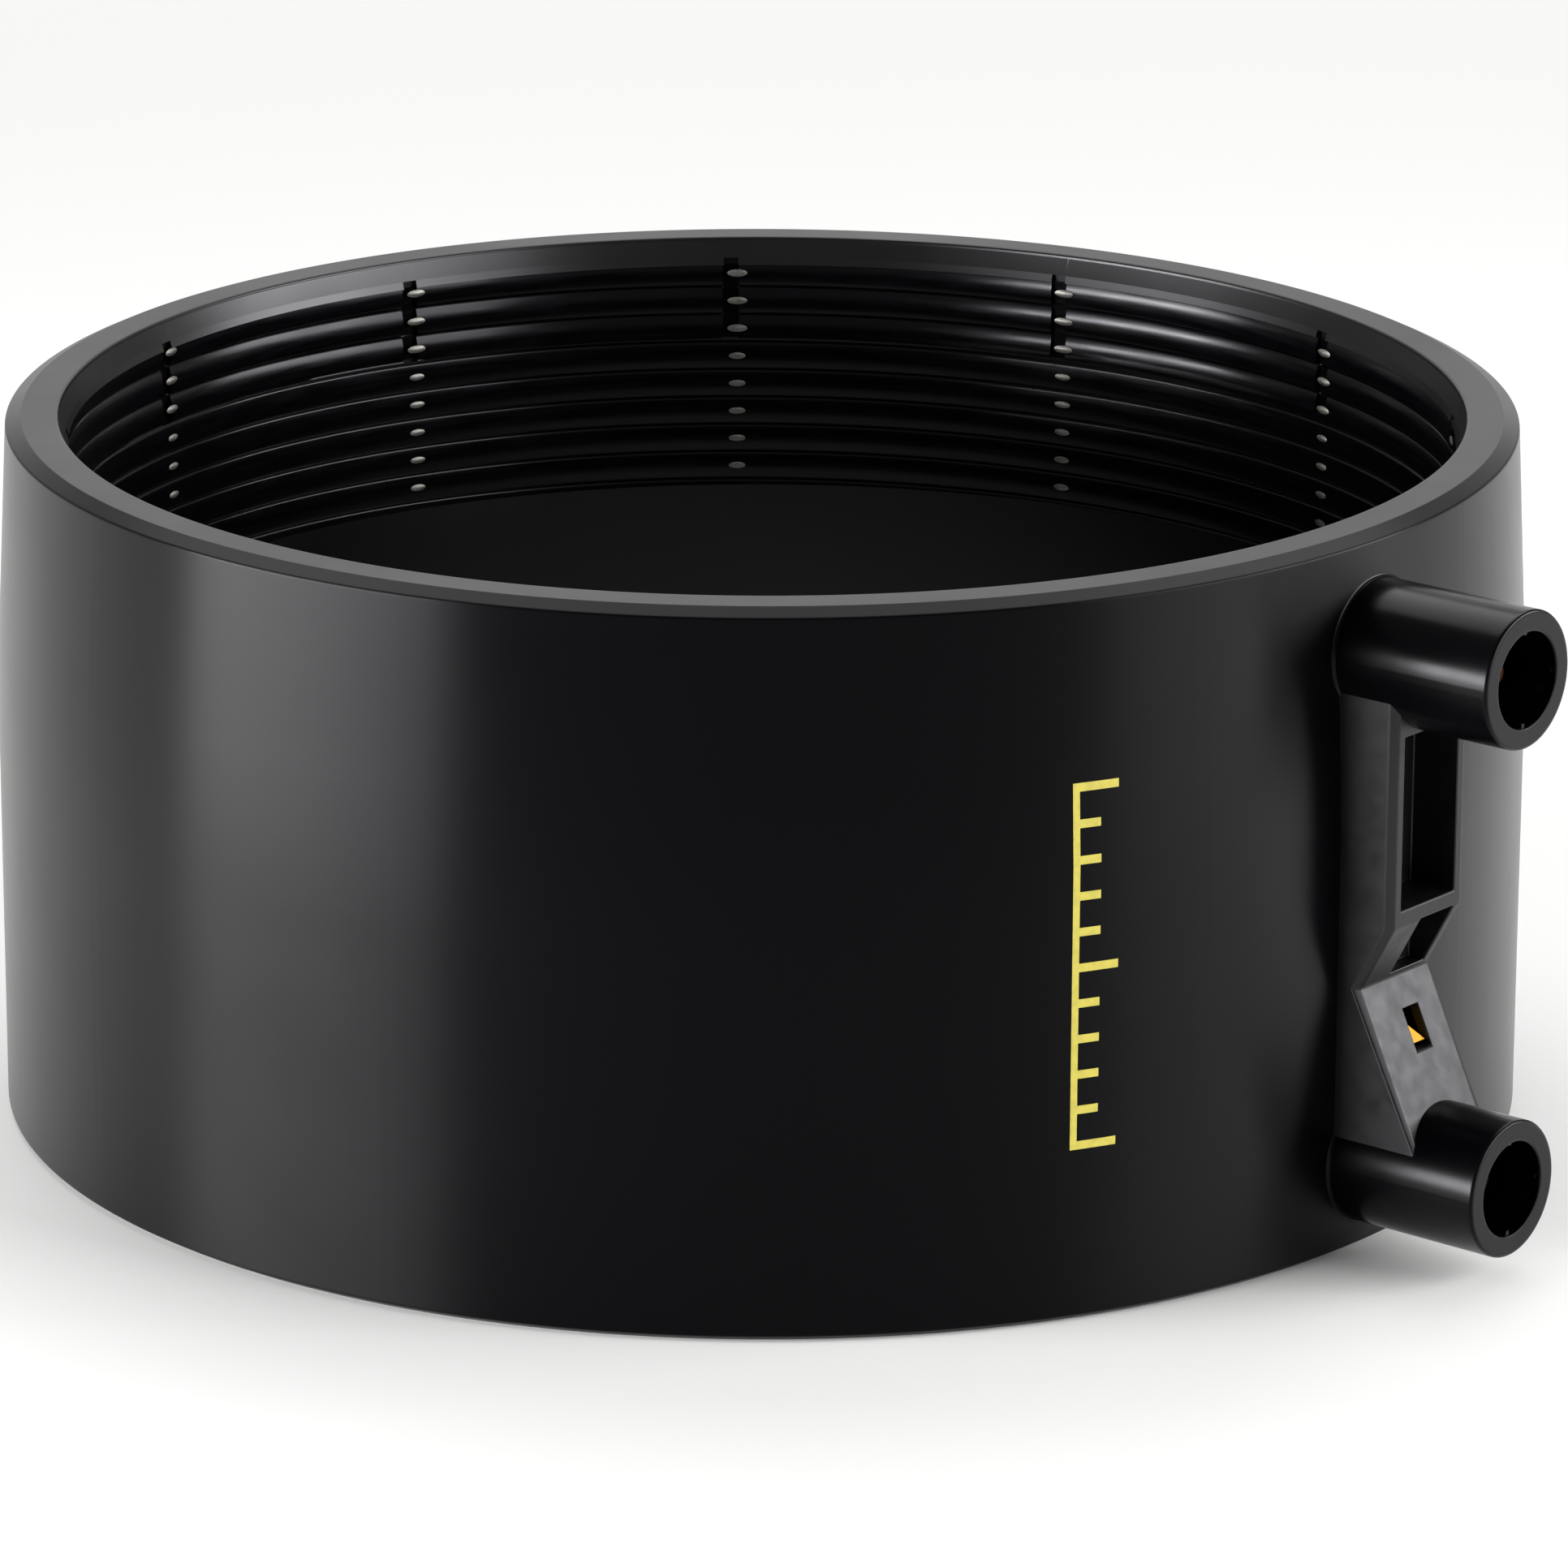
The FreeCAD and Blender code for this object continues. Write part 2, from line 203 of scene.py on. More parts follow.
# Soft panels round the coupler: turn from the camera's side and elevation in degrees, distance and
# size in metres, spread in degrees
PANELS = {
    "left": (-66, 4.5, 1.0, (0.78, 0.25), 100),
    "right": (65, 16, 1.1, (0.62, 0.7), 110),
    "side": (92, 15, 1.2, (0.6, 0.4), 120),
    "top": (178, 60, 1.3, (1.4, 1.0), 150),
    "back": (180, 17, 1.5, (1.3, 0.8), 170),
}

# Half the floor's side, and the distance from the bore axis over which it goes into the backdrop
FLOOR_REACH = 6.0
BACKDROP_REACH = (0.3, 0.9)

# Camera, as measured from the picture
CAMERA_AZIMUTH = math.radians(-50.28)
CAMERA_REACH = 1.1930
CAMERA_HEIGHT = 0.36396
CAMERA_PITCH = math.radians(17.248)
CAMERA_YAW = math.radians(0.159)
CAMERA_ROLL = math.radians(0.199)
CAMERA_CLIP = (0.01, 50)
SENSOR_WIDTH = 36.0


def linear(colour):
    """Scene-linear red, green and blue of an sRGB hex value such as #E9D84A."""
    values = [int(colour[i:i + 2], 16) / 255 for i in (1, 3, 5)]
    return tuple(v / 12.92 if v <= 0.04045 else ((v + 0.055) / 1.055) ** 2.4 for v in values)


def length(name, description, millimetres):
    """Length property with a default given in millimetres."""
    return FloatProperty(name=name, description=description, default=millimetres * MM,
                         unit="LENGTH", precision=5)


def tint(name, description, colour):
    """Colour property with a default given as an sRGB hex value."""
    return FloatVectorProperty(name=name, description=description, default=linear(colour),
                               subtype="COLOR", size=3, min=0, max=1)


def power(name, description, watts):
    """Power property of a lamp."""
    return FloatProperty(name=name, description=description, default=watts, subtype="POWER")


class CouplerSizes(bpy.types.PropertyGroup):
    """Sizes of the pieces that the scene adds to the frame."""

    edge_radius: length("Edge radius", "Rounding of the sleeve's moulded edges", 0.4)
    fillet: length("Root fillet", "Fillet where a socket grows out of the sleeve", 0.5)
    turn_pitch: length("Turn pitch", "Height from one turn of the winding to the next", 4.45)
    turns: IntProperty(name="Turns", description="Turns in each fusion zone", default=8, min=1,
                       max=20)
    crown: length("Crown", "How far a turn's crown stands over its edges", 0.22)
    lean: length("Lean", "How far each of the first turns leans out towards the mouth", 0.4)
    seam: length("Seam", "Depth of the seam between two turns", 0.28)
    groove: length("Groove", "Depth of the core ribs' grooves over the first turns", 1.0)
    mark_length: length("Mark length", "Length of a bare spot on the wire", 3.2)
    mark_height: length("Mark height", "Height of a bare spot on the wire", 1.2)
    ink_height: length("Scale height", "Height of the printed scale", 51.0)
    ink_width: length("Scale width", "Width of the printed scale", 6.9)


class CouplerColours(bpy.types.PropertyGroup):
    """Colours of the coupler's finishes."""

    polyethylene: tint("Polyethylene", "Moulded black polyethylene", "#020203")
    coating: tint("Coating", "Black coating of the heating wire", "#020203")
    wire: tint("Wire", "Bare resistance wire", "#8C8A85")
    # Brass darkened to red-brown: partly tarnish, partly painted shade for the pins deep in their
    # sockets
    brass: tint("Brass", "Contact pins", "#54301F")
    indicator: tint("Indicator", "Fusion indicator", "#E1A310")
    ink: tint("Ink", "Printed scale", "#C2B548")
    floor: tint("Floor", "Studio floor", "#FAFAF9")


class StudioSettings(bpy.types.PropertyGroup):
    """Camera and lamps."""

    lens: FloatProperty(name="Lens", description="Focal length in millimetres", default=194.69,
                        min=10)
    left: power("Left panel", "Power of the wide panel on the left", 8.8)
    right: power("Right panel", "Power of the tall panel on the right", 3.8)
    side: power("Side panel", "Power of the panel to the right and behind", 3.1)
    top: power("Top panel", "Power of the large panel above and behind", 6.8)
    back: power("Back panel", "Power of the panel behind", 1.8)
    world: FloatProperty(name="Room", description="Strength of the even light from all round",
                         default=0.25, min=0)


# Surfaces


def grid_faces(rows, columns, close_rows, close_columns):
    """Quads between the neighbours of a grid of rows x columns points that may close on itself."""
    i, j = np.meshgrid(np.arange(rows if close_rows else rows - 1),
                       np.arange(columns if close_columns else columns - 1), indexing="ij")
    i, j = i.ravel(), j.ravel()
    down, along = (i + 1) % rows, (j + 1) % columns
    return np.stack([i * columns + j, i * columns + along, down * columns + along,
                     down * columns + j], axis=1)


def new_mesh(name, points, faces):
    """Mesh from an array of points and one of faces."""
    mesh = bpy.data.meshes.new(name)
    mesh.from_pydata(points.reshape(-1, 3).tolist(), [], faces.tolist())
    mesh.update()
    return mesh


def grid_bmesh(target, points, close_rows=False, close_columns=False):
    """Add a grid of points of shape (rows, columns, 3) to a bmesh, as quads."""
    rows, columns = points.shape[:2]
    mesh = new_mesh("grid", points, grid_faces(rows, columns, close_rows, close_columns))
    target.from_mesh(mesh)
    bpy.data.meshes.remove(mesh)


def outwards(mesh):
    """Merge a closed mesh's doubles and turn its faces to point outwards."""
    shell = bmesh.new()
    shell.from_mesh(mesh)
    bmesh.ops.remove_doubles(shell, verts=shell.verts, dist=MERGE_DISTANCE)
    bmesh.ops.dissolve_degenerate(shell, dist=HAIR, edges=shell.edges)
    bmesh.ops.recalc_face_normals(shell, faces=shell.faces)
    shell.to_mesh(mesh)
    shell.free()
    mesh.update()


def surface_mesh(name, points, close_rows=False, close_columns=False):
    """Closed mesh from a grid of points, with doubles merged and faces outwards."""
    rows, columns = points.shape[:2]
    mesh = new_mesh(name, points, grid_faces(rows, columns, close_rows, close_columns))
    outwards(mesh)
    return mesh


def around(radius, angles, heights):
    """Points at a distance from the bore axis, an angle round it and a height, as one array."""
    across, deep = radius * np.cos(angles), radius * np.sin(angles)
    return np.stack(np.broadcast_arrays(across, deep, heights), axis=2)


def rounded(corners, radius, support=0.25 * MM, arc_share=0.3, support_share=0.15):
    """Closed profile whose corners are arcs.

    Each corner becomes an arc of the given radius, or of its own, that touches both of its sides
    and takes up no more than a share of either. A point a little way out on each side keeps the
    shading of the flat beside it even.
    """
    corners = np.array(corners, float)
    radius = np.broadcast_to(radius, len(corners))[:, None]
    before = np.roll(corners, 1, axis=0) - corners
    after = np.roll(corners, -1, axis=0) - corners
    before_length = np.linalg.norm(before, axis=1)[:, None]
    after_length = np.linalg.norm(after, axis=1)[:, None]
    shorter = np.minimum(before_length, after_length)
    before, after = before / before_length, after / after_length
    half = np.arccos(np.clip((before * after).sum(axis=1), -1, 1))[:, None] / 2
    reach = np.minimum(radius / np.tan(half), arc_share * shorter)
    size = reach * np.tan(half)
    middle = before + after
    middle /= np.linalg.norm(middle, axis=1)[:, None]
    centre = corners + middle * size / np.sin(half)
    turn = np.linspace(-1, 1, EDGE_STEPS)[None, :, None]
    sweep = (math.pi / 2 - half)[:, None, :] * turn
    side = after - before
    side /= np.linalg.norm(side, axis=1)[:, None]
    arc = centre[:, None, :] + size[:, None, :] * (side[:, None, :] * np.sin(sweep)
                                                   - middle[:, None, :] * np.cos(sweep))
    spare = np.minimum(support, support_share * shorter)
    first = (corners + before * (reach + spare))[:, None, :]
    last = (corners + after * (reach + spare))[:, None, :]
    return np.concatenate([first, arc, last], axis=1).reshape(-1, 2)


def columns_round(count, centres, half_width):
    """Angles all round, with a close pair at each side of every mark to keep its edges crisp."""
    even = np.linspace(0, math.tau, count, endpoint=False)
    sides = [centre + side * (half_width + shift) for centre in centres for side in (-1, 1)
             for shift in (-CRISP_ANGLE, CRISP_ANGLE)]
    return np.unique(np.round(np.mod(np.concatenate([even, sides]), math.tau), ANGLE_DIGITS))


def near_mark(angles, centres, half_width):
    """True for each angle that lies on one of the marks."""
    turns = angles[:, None] - np.array(centres)[None, :]
    return (np.abs((turns + math.pi) % math.tau - math.pi) <= half_width).any(axis=1)


def rib_angles():
    """Middle of each core rib's bare spots."""
    return [CORE_RIB_PHASE + math.tau * index / CORE_RIB_COUNT for index in range(CORE_RIB_COUNT)]


def groove_angles():
    """Middle of each core rib's groove and slot, which lie beside its bare spots."""
    return [angle + GROOVE_OFFSET / BORE_RADIUS for angle in rib_angles()]


def sleeve_radius(z):
    """Outer radius of the sleeve at a height: the band's, and less by the draft above the band."""
    start = TOP_Z - BAND_TOP_FROM_END
    share = np.clip((z - start) / (TOP_Z - TOP_BEVEL[1] - start), 0, 1)
    return BAND_RADIUS - TOP_DRAFT * share


def sleeve_surface(edge_radius):
    """Points of the sleeve: a closed profile of radius and height, turned about the bore axis.

    In the lead-in, radius = max(profile, bore + slot depth) wherever the angle lies on the slot
    of one of the core's ribs.
    """
    skirt = BAND_RADIUS - TOP_DRAFT
    mouth = BORE_RADIUS + LEAD_IN_WIDTH
    seat = SEAT_RADIUS + SEAT_CLEARANCE
    slot_top, slot_base = TOP_Z - SLOT_REACH, BASE_Z + SLOT_REACH
    at_slot = mouth - LEAD_IN_WIDTH * (SLOT_REACH / (TOP_Z - ZONE_END_Z))
    outer = rounded([
        (mouth, BASE_Z), (BAND_RADIUS - BASE_BEVEL[0], BASE_Z),
        (BAND_RADIUS, BASE_Z + BASE_BEVEL[1]), (BAND_RADIUS, TOP_Z - BAND_TOP_FROM_END),
        (skirt, TOP_Z - TOP_BEVEL[1]), (skirt - TOP_BEVEL[0], TOP_Z), (mouth, TOP_Z),
    ], [edge_radius] * 3 + [SKIRT_BLEND] + [edge_radius] * 3)
    inner = np.array([
        (at_slot, slot_top + STEP_LENGTH), (at_slot, slot_top), (BORE_RADIUS, ZONE_END_Z),
        (seat, ZONE_END_Z), (seat, LAND_END_Z), (BORE_RADIUS, LAND_END_Z),
        (BORE_RADIUS, -LAND_END_Z), (seat, -LAND_END_Z), (seat, -ZONE_END_Z),
        (BORE_RADIUS, -ZONE_END_Z), (at_slot, slot_base), (at_slot, slot_base - STEP_LENGTH),
    ])
    profile = np.concatenate([outer, inner])
    half = SLOT_WIDTH / 2 / BORE_RADIUS
    angles = columns_round(SLEEVE_COLUMNS, groove_angles(), half)
    radius = np.repeat(profile[:, :1], len(angles), axis=1)
    height = np.repeat(profile[:, 1:], len(angles), axis=1)
    slotted = (np.abs(height) <= slot_top + HAIR) & (np.abs(height) >= ZONE_END_Z - HAIR)
    slotted &= near_mark(angles, groove_angles(), half)[None, :] & (radius < mouth)
    radius = np.where(slotted, np.maximum(radius, BORE_RADIUS + SLOT_DEPTH), radius)
    return around(radius, angles, height)


def socket_surface(middle_z, fillet):
    """Points of one socket: rings of a closed profile about the socket's axis.

    At the root, a ring of radius rho stands at x = sqrt(R(z)^2 - y^2) + d, where R is the
    sleeve's radius. Along the fillet rho = outer + f (1 - sin a) and d = f (1 - cos a), for a from
    0 to 90 degrees. Inside, the bore is narrower by the rib's height wherever the angle lies on a
    key rib.
    """
    ribs = [math.tau * index / KEY_RIB_COUNT for index in range(KEY_RIB_COUNT)]
    half = KEY_RIB_WIDTH / 2 / SOCKET_BORE_RADIUS
    angles = columns_round(SOCKET_COLUMNS, ribs, half)
    a = np.linspace(0, math.pi / 2, FILLET_STEPS)
    root_rho = np.concatenate([[SOCKET_RADIUS + fillet], SOCKET_RADIUS + fillet * (1 - np.sin(a))])
    root_gap = np.concatenate([[-SOCKET_ROOT_SINK], fillet * (1 - np.cos(a))])
    y = root_rho[:, None] * np.sin(angles)
    z = middle_z + root_rho[:, None] * np.cos(angles)
    x = np.sqrt(sleeve_radius(z) ** 2 - y ** 2) + root_gap[:, None]
    root = np.stack([x, y, z], axis=2)
    end, rim, core = SOCKET_FACE_X, SOCKET_RADIUS, SOCKET_BORE_RADIUS
    soft, fine = SOCKET_EDGE, SOCKET_MOUTH_EDGE
    arc = np.linspace(0, math.pi / 2, EDGE_STEPS)
    tube = np.concatenate([
        [(end - BARREL_SUPPORT * soft, rim), (end - EDGE_SUPPORT * soft, rim)],
        np.stack([end - soft + soft * np.sin(arc), rim - soft + soft * np.cos(arc)], axis=1),
        [(end, rim - EDGE_SUPPORT * soft), (end, core + EDGE_SUPPORT * fine)],
        np.stack([end - fine + fine * np.cos(arc), core + fine - fine * np.sin(arc)], axis=1),
        [(end - KEY_RIB_SETBACK + STEP_LENGTH, core), (end - KEY_RIB_SETBACK, core),
         (SOCKET_FLOOR_X, core), (SOCKET_FLOOR_X, PIN_SHANK_RADIUS),
         (BAND_RADIUS - PIN_SHANK_SINK, PIN_SHANK_RADIUS)],
    ])
    x = np.repeat(tube[:, :1], len(angles), axis=1)
    rho = np.repeat(tube[:, 1:], len(angles), axis=1)
    on_rib = near_mark(angles, ribs, half)[None, :] & (x <= end - KEY_RIB_SETBACK) & (rho == core)
    rho = np.where(on_rib, core - KEY_RIB_HEIGHT, rho)
    barrel = np.stack([x, rho * np.sin(angles), middle_z + rho * np.cos(angles)], axis=2)
    return np.concatenate([root, barrel])


def prism(name, sections):
    """Closed solid along Y through sections of (y, outline), where an outline is (x, z) corners."""
    depths = np.array([y for y, _ in sections], float)
    outlines = np.array([outline for _, outline in sections], float)
    x, z = outlines[..., 0], outlines[..., 1]
    rings = np.stack([x, np.broadcast_to(depths[:, None], x.shape), z], axis=2)
    rows, count = x.shape
    last = (rows - 1) * count
    faces = grid_faces(rows, count, False, True).tolist()
    faces += [list(range(count))[::-1], list(range(last, last + count))]
    mesh = bpy.data.meshes.new(name)
    mesh.from_pydata(rings.reshape(-1, 3).tolist(), [], faces)
    outwards(mesh)
    return linked(name, mesh)


def block(name, x, y, z):
    """Box between two corners, given as pairs of low and high values."""
    outline = [(x[0], z[0]), (x[1], z[0]), (x[1], z[1]), (x[0], z[1])]
    return prism(name, [(y[0], outline), (y[1], outline)])


def ramp_x(z, depth=0.0):
    """X of the ramp's face at a height, or of a plane that lies depth under it."""
    slope = (RAMP_END_X - NOTCH_X) / (NOTCH_Z - RAMP_END_Z)
    return NOTCH_X + slope * (NOTCH_Z - z) - depth * math.hypot(1, slope)


def bridge_mesh():
    """Bridge between the sockets: a block along Y with its hollows cut and its edges rounded.

    Its sections are the whole outline between the flanks, and the outline drawn in by the bevel
    on each flank.
    """
    upper, lower = SOCKET_Z
    bevel, side = BRIDGE_EDGE_BEVEL, BRIDGE_HALF_WIDTH
    front, ramp = BRIDGE_FRONT_X - bevel, RAMP_END_X - RAMP_INSET
    whole = [(BRIDGE_ROOT_X, upper), (BRIDGE_FRONT_X, upper), (BRIDGE_FRONT_X, CROSS_BAR_BASE),
             (NOTCH_X, NOTCH_Z), (RAMP_END_X, RAMP_END_Z), (RAMP_END_X, lower),
             (BRIDGE_ROOT_X, lower)]
    inset = [(BRIDGE_ROOT_X, upper), (front, upper), (front, CROSS_BAR_BASE - BAR_INSET),
             (NOTCH_X - bevel, NOTCH_Z), (ramp, RAMP_END_Z), (ramp, lower), (BRIDGE_ROOT_X, lower)]
    bridge = prism("bridge", [(-side, inset), (-side + bevel, whole), (side - bevel, whole),
                              (side, inset)])
    floor, far, inner = BRIDGE_FLOOR_X, CUTTER_END_X, BRIDGE_INNER
    chamber_top = NOTCH_Z - NOTCH_SHELF
    chamber_base = chamber_top - CHAMBER_HEIGHT
    chamber = [(floor, chamber_base), (ramp_x(chamber_base, RAMP_PLATE), chamber_base),
               (ramp_x(chamber_top, RAMP_PLATE), chamber_top), (floor, chamber_top)]
    hollows = [
        block("pocket", (floor, far), (-inner, inner), (CROSS_BAR_TOP, upper - SOCKET_RADIUS)),
        block("notch", (floor, far), (inner - NOTCH_OPENING, inner),
              (NOTCH_Z + NOTCH_SHELF / 2, CROSS_BAR_BASE)),
        prism("chamber", [(-inner, chamber), (inner, chamber)]),
        block("window", (floor + WINDOW_LIFT, far), WINDOW_Y, WINDOW_Z),
    ]
    for hollow in hollows:
        cut = bridge.modifiers.new(hollow.name, "BOOLEAN")
        cut.operation, cut.solver, cut.object = "DIFFERENCE", "EXACT", hollow
    rounding = bridge.modifiers.new("rounding", "BEVEL")
    rounding.width, rounding.segments = BRIDGE_ROUNDING, 3
    rounding.limit_method, rounding.angle_limit = "ANGLE", ROUNDED_ANGLE
    mesh = finished_mesh(bridge)
    for hollow in hollows:
        bpy.data.objects.remove(hollow)
    return mesh


def strand_radius(angles, heights, base, sizes):
    """Radius of the bore side of the turns at each angle and height.

    u is the share of a turn that the point lies above its seam, v the share that it lies towards
    the zone's own mouth, d the distance to the nearest seam, and first is 1 on the turns next to
    that mouth. radius = bore + (1 + 0.6 first) crown (2u - 1)^2 + first lean v
    + seam exp(-(d / seam width)^2). In the core ribs' grooves the first turns are cut flat, by the
    groove's depth.
    """
    pitch, upper = sizes.turn_pitch, base > 0
    u = np.mod((heights - base) / pitch - angles / math.tau - TURN_PHASE, 1.0)
    gap = np.minimum(u, 1 - u) * pitch
    depth = base + WINDING_SPAN - heights if upper else heights - base
    first = depth < FIRST_TURNS * pitch
    share = u if upper else 1 - u
    radius = (BORE_RADIUS + (1 + FIRST_CROWN * first) * sizes.crown * (2 * u - 1) ** 2
              + first * sizes.lean * share + sizes.seam * np.exp(-(gap / SEAM_WIDTH) ** 2))
    half = GROOVE_WIDTH / 2 / BORE_RADIUS
    grooved = first & near_mark(angles.ravel(), groove_angles(), half)[None, :]
    return np.where(grooved, BORE_RADIUS + sizes.groove, radius)


def strand_surface(base, sizes):
    """Points of one zone's turns, closed by the seat behind them.

    A row's height is base + pitch (row + phase + share of a turn), held between the zone's ends.
    """
    top, pitch = base + WINDING_SPAN, sizes.turn_pitch
    rows = (np.arange(-1, sizes.turns + 1)[:, None] + np.array(ROW_SHARES)[None, :]).ravel()
    angles = columns_round(TURN_COLUMNS, groove_angles(), GROOVE_WIDTH / 2 / BORE_RADIUS)
    angles = np.append(angles, math.tau)
    heights = base + pitch * (rows[:, None] + TURN_PHASE + angles[None, :] / math.tau)
    heights = np.clip(heights, base, top)
    radius = strand_radius(angles[None, :], heights, base, sizes)
    radius = np.concatenate([radius, np.full((2, len(angles)), SEAT_RADIUS)])
    ends = [np.full((1, len(angles)), height) for height in (top, base)]
    return around(radius, angles, np.concatenate([heights, *ends]))


def link_surface():
    """Points of the wire's steep run across the land: a flat strip that climbs as it turns.

    Its profile keeps its radii, while its angle and its height grow evenly with the share of the
    run, from the lower zone to the upper one.
    """
    low, high = -LAND_END_Z - LINK_LAP, LAND_END_Z + LINK_LAP
    across, sunk = np.array(LINK_PROFILE, float).T
    share = np.linspace(0, 1, LINK_ROWS)[:, None]
    angles = share * (LINK_TURN * math.tau) + across * (LINK_HALF_WIDTH / BORE_RADIUS)
    return around(BORE_RADIUS + sunk * MM, angles, low + share * (high - low))


def mark_surface(angle, middle_z, sizes, rows=5, columns=14):
    """Points of one bare spot: a lens whose two faces lie rise (1 - e^2) to either side of its rim.

    e is the distance from the spot's middle as a share of the ellipse's half axes. The spot climbs
    as the wire does.
    """
    e = np.concatenate([np.linspace(0, 1, rows), np.linspace(1, 0, rows)[1:]])[:, None]
    side = np.concatenate([np.ones(rows), -np.ones(rows - 1)])[:, None]
    turn = np.linspace(0, math.tau, columns, endpoint=False)[None, :]
    along = e * np.cos(turn) * sizes.mark_length / 2
    up = e * np.sin(turn) * sizes.mark_height / 2
    proud = MARK_RISE * side * (1 - e ** 2) - MARK_SINK
    climb = along * sizes.turn_pitch / (math.tau * BORE_RADIUS)
    return around(BORE_RADIUS - proud, angle + along / BORE_RADIUS, middle_z + up + climb)


def patch_surface(angle_low, angle_high, z_low, z_high):
    """Points of a patch that follows the sleeve's radius at each height, a little proud of it."""
    rows = max(2, int((z_high - z_low) / PATCH_ROW) + 2)
    angles = np.linspace(angle_low, angle_high, PATCH_COLUMNS)[None, :]
    heights = np.linspace(z_low, z_high, rows)[:, None]
    return around(sleeve_radius(heights) + INK_PROUD, angles, heights)


# Pieces


def linked(name, data):
    """New object in the scene."""
    piece = bpy.data.objects.new(name, data)
    bpy.context.scene.collection.objects.link(piece)
    return piece


def finished_mesh(piece):
    """Mesh of a piece with its modifiers applied. The piece is removed."""
    evaluated = piece.evaluated_get(bpy.context.evaluated_depsgraph_get())
    mesh = bpy.data.meshes.new_from_object(evaluated)
    bpy.data.objects.remove(piece)
    return mesh


def add_piece(name, meshes, material, replaces=(), sharp=SHARP_ANGLE):
    """One object from one or more meshes, smooth but for its sharp edges, that rides on the frame.

    Normals are weighted by face area, so that flats stay flat beside their rounded edges.
    """
    shell = bmesh.new()
    for mesh in meshes:
        shell.from_mesh(mesh)
    whole = bpy.data.meshes.new(name)
    shell.to_mesh(whole)
    shell.free()
    whole.shade_smooth()
    whole.set_sharp_from_angle(angle=math.radians(sharp))
    draft = linked("draft", whole)
    draft.modifiers.new("shading", "WEIGHTED_NORMAL").keep_sharp = True
    shaded = finished_mesh(draft)
    bpy.data.meshes.remove(whole)
    shaded.name = name
    piece = linked(name, shaded)
    shaded.materials.append(material)
    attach(piece, "root")
    if replaces:
        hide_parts(*replaces)
    return piece


# Finishes


def add_node(tree, kind, settings=None, links=None, **properties):
    """Add a node, set its properties and its input values, and link other sockets to its inputs."""
    node = tree.nodes.new(kind)
    for key, value in properties.items():
        setattr(node, key, value)
    for key, value in (settings or {}).items():
        node.inputs[key].default_value = value
    for key, socket in (links or {}).items():
        tree.links.new(socket, node.inputs[key])
    return node


def new_finish(name, settings):
    """Material whose shader has the given settings, and the object coordinates for its patterns."""
    finish = bpy.data.materials.new(name)
    finish.use_nodes = True
    tree = finish.node_tree
    tree.nodes.clear()
    output = add_node(tree, "ShaderNodeOutputMaterial")
    shader = add_node(tree, "ShaderNodeBsdfPrincipled", settings)
    tree.links.new(shader.outputs["BSDF"], output.inputs["Surface"])
    place = add_node(tree, "ShaderNodeTexCoord").outputs["Object"]
    return finish, tree, shader, place


def clouds(tree, place, size, detail=2.0, stretch=(1, 1, 1)):
    """Pattern with patches about size metres across, finer along an axis by its stretch."""
    scaled = add_node(tree, "ShaderNodeMapping", {"Scale": stretch}, {"Vector": place})
    return add_node(tree, "ShaderNodeTexNoise", {"Scale": 1 / size, "Detail": detail},
                    {"Vector": scaled.outputs["Vector"]}).outputs["Fac"]


def vary_colour(tree, shader, pattern, first, second, band=PATTERN_BAND):
    """Colour a shader from the first colour to the second as a pattern rises through its band."""
    share = add_node(tree, "ShaderNodeMapRange",
                     {"From Min": band[0], "From Max": band[1], "To Min": 0, "To Max": 1},
                     {"Value": pattern})
    colour = add_node(tree, "ShaderNodeMix", {"A": (*first, 1), "B": (*second, 1)},
                      {"Factor": share.outputs["Result"]}, data_type="RGBA")
    tree.links.new(colour.outputs["Result"], shader.inputs["Base Color"])


def vary_roughness(tree, shader, pattern, first, second):
    """Take a shader's roughness from the first to the second value as a pattern rises."""
    level = add_node(tree, "ShaderNodeMapRange",
                     {"From Min": PATTERN_BAND[0], "From Max": PATTERN_BAND[1],
                      "To Min": first, "To Max": second}, {"Value": pattern})
    tree.links.new(level.outputs["Result"], shader.inputs["Roughness"])


def toned(colour, share):
    """Colour with each value times a share: darker below 1, lighter above."""
    return tuple(share * value for value in colour)


def polyethylene_finish(name, colours, gloss, roughness, patch_size, ripple_size, grain_depth):
    """High density polyethylene: black and waxy, with ripples that bend reflections, fine mould
    grain and dull patches where it was handled.

    Its gloss, its roughness, the size of its patches and ripples and the grain's depth vary with
    the part of the mould that it comes from.
    """
    finish, tree, shader, place = new_finish(name, {
        "IOR": POLYETHYLENE_IOR, "Specular Tint": (gloss, gloss, COOL_CAST * gloss, 1)})
    dull = clouds(tree, place, patch_size, detail=3.0)
    vary_colour(tree, shader, dull, colours.polyethylene, toned(colours.polyethylene, 1.5))
    vary_roughness(tree, shader, dull, *roughness)
    ripple = clouds(tree, place, ripple_size, detail=1.0)
    soft = add_node(tree, "ShaderNodeBump", {"Strength": 0.5, "Distance": 0.05 * MM},
                    {"Height": ripple})
    # Spark-eroded mould texture is finer than a pixel, so it is drawn 0.7 mm coarse
    grain = clouds(tree, place, GRAIN_SIZE)
    fine = add_node(tree, "ShaderNodeBump", {"Strength": 0.35, "Distance": grain_depth},
                    {"Height": grain, "Normal": soft.outputs["Normal"]})
    tree.links.new(fine.outputs["Normal"], shader.inputs["Normal"])
    return finish, tree, shader


